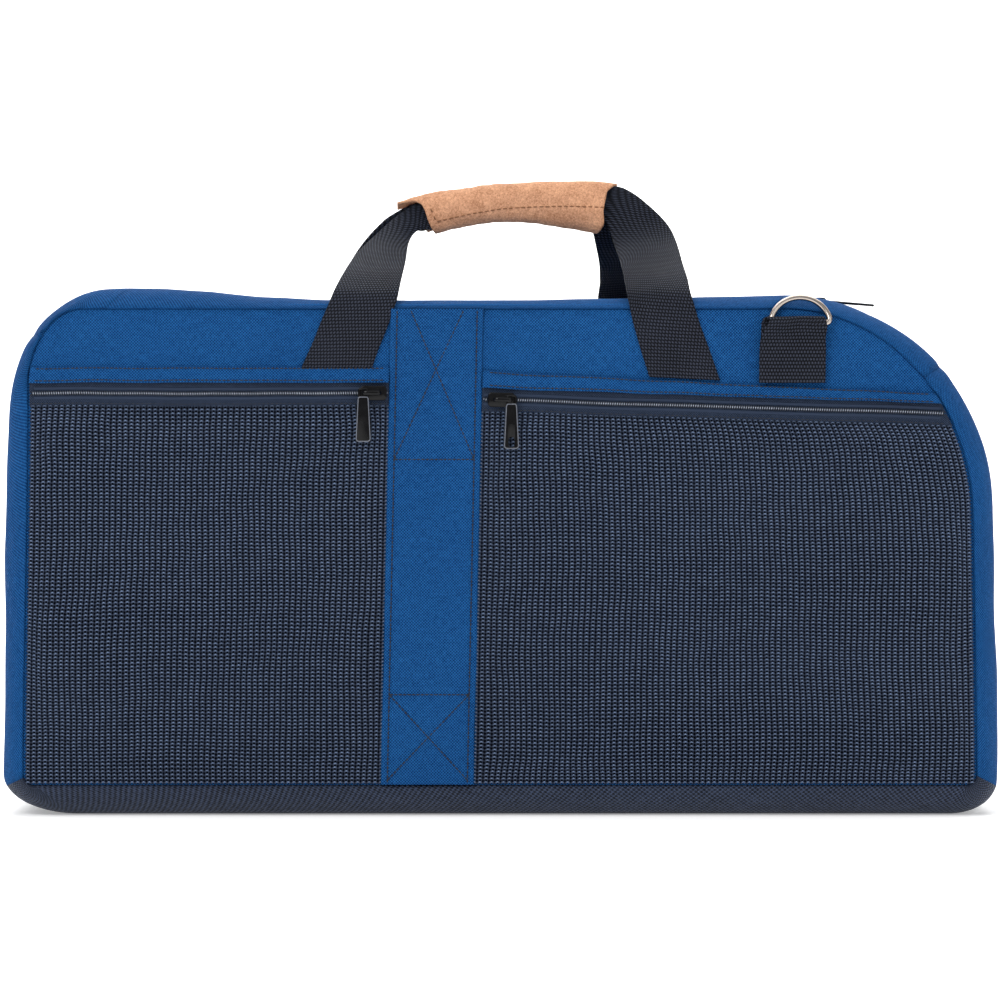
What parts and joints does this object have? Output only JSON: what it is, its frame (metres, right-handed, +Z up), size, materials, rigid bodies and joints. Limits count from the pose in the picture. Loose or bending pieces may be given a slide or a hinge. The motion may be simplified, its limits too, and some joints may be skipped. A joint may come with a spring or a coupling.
{
  "type": "flight bag",
  "caption": "Padded fabric flight bag with a zipped top, zipped mesh front pockets, webbing carry handles joined by a suede grip, and shoulder strap rings.",
  "frame": {"origin": "middle of the flat bottom of the bag, on the surface it stands on", "axes": "+X along the bag's length towards its large rounded corner, -Y out of the pocket side, +Z up"},
  "size_m": [0.74, 0.2419, 0.469],
  "materials": {
    "blue_nylon": "plain-woven blue nylon, light sheen",
    "base_fabric": "black coated basket-weave fabric, semi-matt",
    "pocket_mesh": "black vinyl-coated open mesh",
    "webbing": "black ribbed nylon webbing, matt",
    "zip_tape": "black woven zip tape",
    "zip_coil": "black nylon coil",
    "slider_metal": "gloss black enamel",
    "suede": "tan suede, napped",
    "hook_and_loop": "hook and loop tape",
    "nickel": "polished nickel plate",
    "foam": "grey foam padding with lining cloth",
    "board": "plastic stiffener sheet"
  },
  "bodies": {
    "bag": {"front_panel": "blue_nylon", "back_panel": "blue_nylon", "left_gusset": "blue_nylon", "right_gusset": "blue_nylon", "bottom_panel": "base_fabric", "top_end_left": "blue_nylon", "top_end_right": "blue_nylon", "front_top_binding": "blue_nylon", "back_top_binding": "blue_nylon", "front_pad": "foam", "back_pad": "foam", "left_pad": "foam", "right_pad": "foam", "bottom_board": "board", "centre_strap": "blue_nylon", "left_welt": "blue_nylon", "right_welt": "blue_nylon", "back_welt": "blue_nylon", "left_upper_tape": "zip_tape", "left_lower_tape": "zip_tape", "left_coil": "zip_coil", "right_upper_tape": "zip_tape", "right_lower_tape": "zip_tape", "right_coil": "zip_coil", "left_mesh_pocket": "pocket_mesh", "right_mesh_pocket": "pocket_mesh", "main_zip_end_left": "zip_coil", "main_zip_end_right": "zip_coil", "front_strap": "webbing", "back_strap": "webbing", "front_ring_tab": "webbing", "back_ring_tab": "webbing"},
    "front_flap": {"front_top_flap": "blue_nylon", "front_flap_pad": "foam", "front_main_tape": "zip_tape", "front_main_coil": "zip_coil"},
    "back_flap": {"back_top_flap": "blue_nylon", "back_flap_pad": "foam", "back_main_tape": "zip_tape", "back_main_coil": "zip_coil"},
    "main_slider": {"main_slider": "slider_metal"},
    "main_pull": {"main_pull": "slider_metal"},
    "left_slider": {"left_slider": "slider_metal"},
    "left_pull": {"left_pull": "slider_metal"},
    "right_slider": {"right_slider": "slider_metal"},
    "right_pull": {"right_pull": "slider_metal"},
    "grip": {"grip_wrap": "suede", "loop_strip": "hook_and_loop"},
    "grip_flap": {"grip_flap": "suede", "hook_strip": "hook_and_loop"},
    "front_d_ring": {"front_d_ring": "nickel"},
    "back_d_ring": {"back_d_ring": "nickel"}
  },
  "joints": [
    {"name": "front_flap_hinge", "type": "hinge", "parent": "bag", "child": "front_flap", "pos_m": [0, -0.1035, 0.375], "axis": [1, 0, 0], "range_deg": [-60, 28]},
    {"name": "back_flap_hinge", "type": "hinge", "parent": "bag", "child": "back_flap", "pos_m": [0, 0.1035, 0.375], "axis": [-1, 0, 0], "range_deg": [-60, 28]},
    {"name": "main_slider_slide", "type": "slide", "parent": "bag", "child": "main_slider", "axis": [1, 0, 0], "range_m": [-0.528, 0]},
    {"name": "main_pull_hinge", "type": "hinge", "parent": "main_slider", "child": "main_pull", "pos_m": [0.2472, 0, 0.3862], "axis": [0, -1, 0], "range_deg": [0, 130]},
    {"name": "left_slider_slide", "type": "slide", "parent": "bag", "child": "left_slider", "axis": [-1, 0, 0], "range_m": [0, 0.235]},
    {"name": "left_pull_swing", "type": "hinge", "parent": "left_slider", "child": "left_pull", "pos_m": [-0.101, -0.1131, 0.313], "axis": [0, 1, 0], "range_deg": [-50, 75]},
    {"name": "right_slider_slide", "type": "slide", "parent": "bag", "child": "right_slider", "axis": [0.9996, 0, -0.0285], "range_m": [0, 0.315]},
    {"name": "right_pull_swing", "type": "hinge", "parent": "right_slider", "child": "right_pull", "pos_m": [0.0085, -0.1131, 0.30778], "axis": [0, -1, 0], "range_deg": [-50, 75]},
    {"name": "grip_drop", "type": "slide", "parent": "bag", "child": "grip", "axis": [0, 0, 1], "range_m": [-0.034, 0], "deforming": ["front_strap", "back_strap"]},
    {"name": "grip_flap_hinge", "type": "hinge", "parent": "grip", "child": "grip_flap", "pos_m": [0.008, 0.0105, 0.46615], "axis": [-1, 0, 0], "range_deg": [0, 120]},
    {"name": "front_d_ring_hinge", "type": "hinge", "parent": "bag", "child": "front_d_ring", "pos_m": [0.222, -0.1115, 0.3645], "axis": [1, 0, 0], "range_deg": [0, 145]},
    {"name": "back_d_ring_hinge", "type": "hinge", "parent": "bag", "child": "back_d_ring", "pos_m": [-0.222, 0.1115, 0.3645], "axis": [1, 0, 0], "range_deg": [0, 140]}
  ]
}
